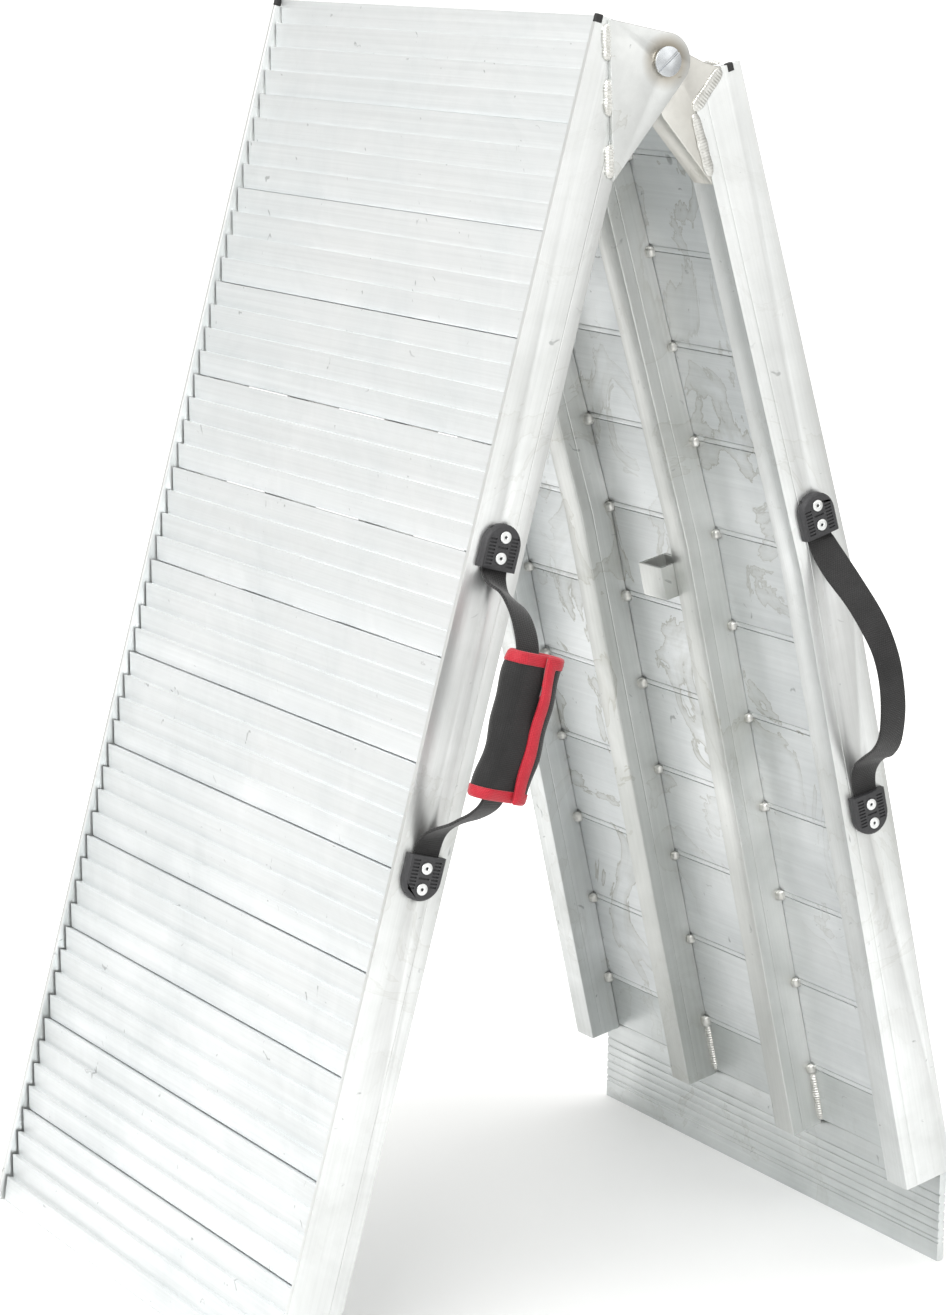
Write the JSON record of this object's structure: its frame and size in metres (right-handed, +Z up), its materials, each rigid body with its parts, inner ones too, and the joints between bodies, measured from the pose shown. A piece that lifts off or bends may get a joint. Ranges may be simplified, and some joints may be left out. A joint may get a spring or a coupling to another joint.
{
  "type": "folding pet ramp",
  "caption": "Folding aluminium dog ramp standing as an A-frame: sawtooth plank deck on box rails, bolted top hinge, bent vehicle lip, foot and two webbing carrying handles on one side.",
  "frame": {"origin": "middle of the footprint's bounding box, on the ground the ramp stands on", "axes": "+Z up, +Y along the hinge bolts away from the handle side, +X from the foot end towards the lip end"},
  "size_m": [0.5956, 0.571, 0.9586],
  "materials": {
    "deck_extrusion": "extruded planks with a fine sawtooth top, mill finish",
    "mill_tube": "mill finish box tube, welded, faint die lines and stains",
    "mill_plate": "sawn plate and bar, stitch welded",
    "zinc_steel": "bright zinc plated",
    "rivet_aluminium": "blind rivets, smooth",
    "moulded_nylon": "moulded, slotted",
    "black_webbing": "woven nylon webbing",
    "black_sleeve_fabric": "padded woven wrap",
    "red_binding": "folded and stitched binding tape",
    "black_rubber": "moulded"
  },
  "bodies": {
    "lower_half": {"lower_side_rail_near": "mill_tube", "lower_stringer_near": "mill_tube", "lower_side_rail_far": "mill_tube", "lower_stringer_far": "mill_tube", "lower_tread_01": "deck_extrusion", "lower_tread_02": "deck_extrusion", "lower_tread_03": "deck_extrusion", "lower_tread_04": "deck_extrusion", "lower_tread_05": "deck_extrusion", "lower_tread_06": "deck_extrusion", "lower_tread_07": "deck_extrusion", "lower_tread_08": "deck_extrusion", "lower_tread_09": "deck_extrusion", "lower_tread_10": "deck_extrusion", "lower_tread_11": "deck_extrusion", "lower_tread_12": "deck_extrusion", "lower_foot_tread": "deck_extrusion", "lower_hinge_plate_outer_near": "mill_plate", "lower_hinge_plate_inner_near": "mill_plate", "lower_hinge_plate_outer_far": "mill_plate", "lower_hinge_plate_inner_far": "mill_plate", "pivot_bolt_near": "zinc_steel", "pivot_nut_near": "zinc_steel", "pivot_bolt_far": "zinc_steel", "pivot_nut_far": "zinc_steel", "lower_stop_pad_near": "black_rubber", "lower_stop_pad_far": "black_rubber", "lower_handle_cap_top": "moulded_nylon", "lower_handle_rivets_top": "rivet_aluminium", "lower_handle_cap_bottom": "moulded_nylon", "lower_handle_rivets_bottom": "rivet_aluminium", "lower_handle_strap": "black_webbing", "grip_sleeve": "black_sleeve_fabric", "grip_sleeve_binding": "red_binding"},
    "upper_half": {"upper_side_rail_near": "mill_tube", "upper_stringer_near": "mill_tube", "upper_side_rail_far": "mill_tube", "upper_stringer_far": "mill_tube", "upper_tread_01": "deck_extrusion", "upper_tread_02": "deck_extrusion", "upper_tread_03": "deck_extrusion", "upper_tread_04": "deck_extrusion", "upper_tread_05": "deck_extrusion", "upper_tread_06": "deck_extrusion", "upper_tread_07": "deck_extrusion", "upper_tread_08": "deck_extrusion", "upper_tread_09": "deck_extrusion", "upper_tread_10": "deck_extrusion", "upper_tread_11": "deck_extrusion", "upper_lip": "deck_extrusion", "upper_hinge_block_near": "mill_plate", "upper_hinge_block_far": "mill_plate", "upper_stop_pad_near": "black_rubber", "upper_stop_pad_far": "black_rubber", "upper_spacer_block": "mill_plate", "upper_handle_cap_top": "moulded_nylon", "upper_handle_rivets_top": "rivet_aluminium", "upper_handle_cap_bottom": "moulded_nylon", "upper_handle_rivets_bottom": "rivet_aluminium", "upper_handle_strap": "black_webbing"}
  },
  "joints": [
    {"name": "fold", "type": "hinge", "parent": "lower_half", "child": "upper_half", "pos_m": [0.00723, 0.03845, 0.92557], "axis": [0, -1, 0], "range_deg": [-31, 148.4]}
  ]
}
